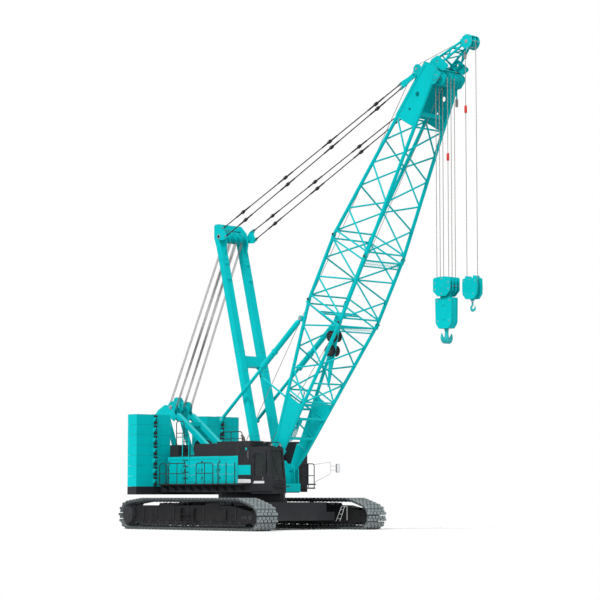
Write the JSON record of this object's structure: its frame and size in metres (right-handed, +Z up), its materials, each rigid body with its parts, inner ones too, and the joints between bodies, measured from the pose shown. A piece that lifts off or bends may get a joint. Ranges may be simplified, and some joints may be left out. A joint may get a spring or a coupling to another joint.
{
  "type": "crawler crane",
  "caption": "Large lattice-boom crawler crane with raised boom, leaning mast, stacked counterweight, side cab and two hook blocks, on two long crawler tracks.",
  "frame": {"origin": "on the slewing axis at ground level", "axes": "+X forward along the boom, +Y to the left, +Z up"},
  "size_m": [19.7855, 7.62, 19.9556],
  "materials": {
    "teal": "glossy paint",
    "black": "satin paint",
    "shoe": "worn paint",
    "steel": "bare wire and steel",
    "glass": "tinted",
    "seat": "matt"
  },
  "bodies": {
    "lower": {"carbody": "black", "slew_ring": "black", "side_frame_left": "black", "side_frame_right": "black", "track_left": "shoe", "track_right": "shoe", "track_rollers": "black", "carrier_rollers": "black", "idlers": "black", "drive_tumblers": "black", "final_drives": "black", "carbody_weight_front": "black", "carbody_weight_rear": "black"},
    "upper": {"revolving_frame": "teal", "side_deck_left": "black", "side_deck_right": "black", "walkways": "black", "side_housing_left": "teal", "side_housing_right": "teal", "upper_housing_left": "black", "upper_housing_right": "black", "cab_shell": "black", "cab_glass": "glass", "cab_seat": "seat", "roof_rails": "black", "housing_ladder": "teal", "front_platform": "black", "counterweight_base": "black", "counterweight_left": "teal", "counterweight_right": "teal", "gantry": "teal", "winch_pedestals": "teal"},
    "boom": {"boom_base": "teal", "guide_rollers": "black", "mast_stops": "teal", "boom_insert": "teal", "boom_tip": "teal", "aux_jib": "teal"},
    "mast": {"mast": "teal"},
    "pendants": {"pendants": "black"},
    "main_block": {"main_falls": "steel", "main_block": "teal"},
    "main_hook": {"main_hook": "black"},
    "aux_block": {"aux_falls": "steel", "aux_block": "teal"},
    "aux_hook": {"aux_hook": "black"},
    "backstop_barrels": {"backstop_barrels": "teal"},
    "backstop_rods": {"backstop_rods": "teal"},
    "cab_door": {"cab_door": "black"},
    "boom_hoist_drum": {"boom_hoist_drum": "black"},
    "main_drum": {"main_drum": "black"},
    "aux_drum": {"aux_drum": "black"},
    "head_sheaves": {"head_sheaves": "black"},
    "mast_sheaves": {"mast_sheaves": "black"},
    "gantry_sheaves": {"gantry_sheaves": "black"},
    "aux_sheave": {"aux_sheave": "teal"},
    "guide_sheave": {"guide_sheave": "teal"}
  },
  "joints": [
    {"name": "slew", "type": "hinge", "parent": "lower", "child": "upper", "pos_m": [0, 0, 0], "axis": [0, 0, 1], "continuous": true},
    {"name": "boom_luff", "type": "hinge", "parent": "upper", "child": "boom", "pos_m": [2, 0, 2.66], "axis": [0, -1, 0], "range_deg": [-29.7, 13]},
    {"name": "mast_luff", "type": "hinge", "parent": "upper", "child": "mast", "pos_m": [1.2, 0, 2.8], "axis": [0, -1, 0], "range_deg": [-31, 19.2]},
    {"name": "pendant_swing", "type": "hinge", "parent": "mast", "child": "pendants", "pos_m": [-1.24, 0, 13.05], "axis": [0, -1, 0], "range_deg": [-1.9, 3]},
    {"name": "main_fall_swing", "type": "hinge", "parent": "boom", "child": "main_block", "pos_m": [12.02885, 0, 18.29614], "axis": [0, -1, 0], "range_deg": [-18.5, 29.9]},
    {"name": "aux_fall_swing", "type": "hinge", "parent": "boom", "child": "aux_block", "pos_m": [13.24054, 0, 19.66013], "axis": [0, -1, 0], "range_deg": [-18.5, 29.9]},
    {"name": "main_hook_swivel", "type": "hinge", "parent": "main_block", "child": "main_hook", "pos_m": [12.02885, -0.22, 8.06614], "axis": [0, 0, 1], "continuous": true},
    {"name": "aux_hook_swivel", "type": "hinge", "parent": "aux_block", "child": "aux_hook", "pos_m": [13.24054, 0, 9.16013], "axis": [0, 0, 1], "continuous": true},
    {"name": "backstop_swing", "type": "hinge", "parent": "boom", "child": "backstop_barrels", "pos_m": [4.33405, 0, 8.99824], "axis": [0, -1, 0], "range_deg": [-9.3, 15.1]},
    {"name": "backstop_rod_slide", "type": "slide", "parent": "backstop_barrels", "child": "backstop_rods", "axis": [0.7799, 0, 0.6259], "range_m": [0, 1.1]},
    {"name": "cab_door_hinge", "type": "hinge", "parent": "upper", "child": "cab_door", "pos_m": [1.985, -1.722, 2.6], "axis": [0, 0, -1], "range_deg": [0, 95]},
    {"name": "boom_hoist_drum_spin", "type": "hinge", "parent": "upper", "child": "boom_hoist_drum", "pos_m": [-3.35, 0, 3.6], "axis": [0, -1, 0], "continuous": true},
    {"name": "main_drum_spin", "type": "hinge", "parent": "upper", "child": "main_drum", "pos_m": [0.35, 0, 2.56], "axis": [0, -1, 0], "continuous": true},
    {"name": "aux_drum_spin", "type": "hinge", "parent": "upper", "child": "aux_drum", "pos_m": [-0.8, 0, 2.56], "axis": [0, -1, 0], "continuous": true},
    {"name": "head_sheaves_spin", "type": "hinge", "parent": "boom", "child": "head_sheaves", "pos_m": [12.02885, 0, 18.29614], "axis": [0, -1, 0], "continuous": true},
    {"name": "mast_sheaves_spin", "type": "hinge", "parent": "mast", "child": "mast_sheaves", "pos_m": [-1.24, 0, 13.05], "axis": [0, -1, 0], "continuous": true},
    {"name": "gantry_sheaves_spin", "type": "hinge", "parent": "upper", "child": "gantry_sheaves", "pos_m": [-5.02, 0, 5.52], "axis": [0, -1, 0], "continuous": true},
    {"name": "aux_sheave_spin", "type": "hinge", "parent": "boom", "child": "aux_sheave", "pos_m": [13.24054, 0, 19.66013], "axis": [0, -1, 0], "continuous": true},
    {"name": "guide_sheave_spin", "type": "hinge", "parent": "boom", "child": "guide_sheave", "pos_m": [10.70024, -0.45, 18.89646], "axis": [0, -1, 0], "continuous": true}
  ],
  "couplings": [
    {"joint": "mast_luff", "follows": "boom_luff", "ratio": 1.0385},
    {"joint": "pendant_swing", "follows": "boom_luff", "ratio": -0.0957},
    {"joint": "main_fall_swing", "follows": "boom_luff", "ratio": -1},
    {"joint": "aux_fall_swing", "follows": "boom_luff", "ratio": -1},
    {"joint": "backstop_swing", "follows": "boom_luff", "ratio": -0.5}
  ]
}
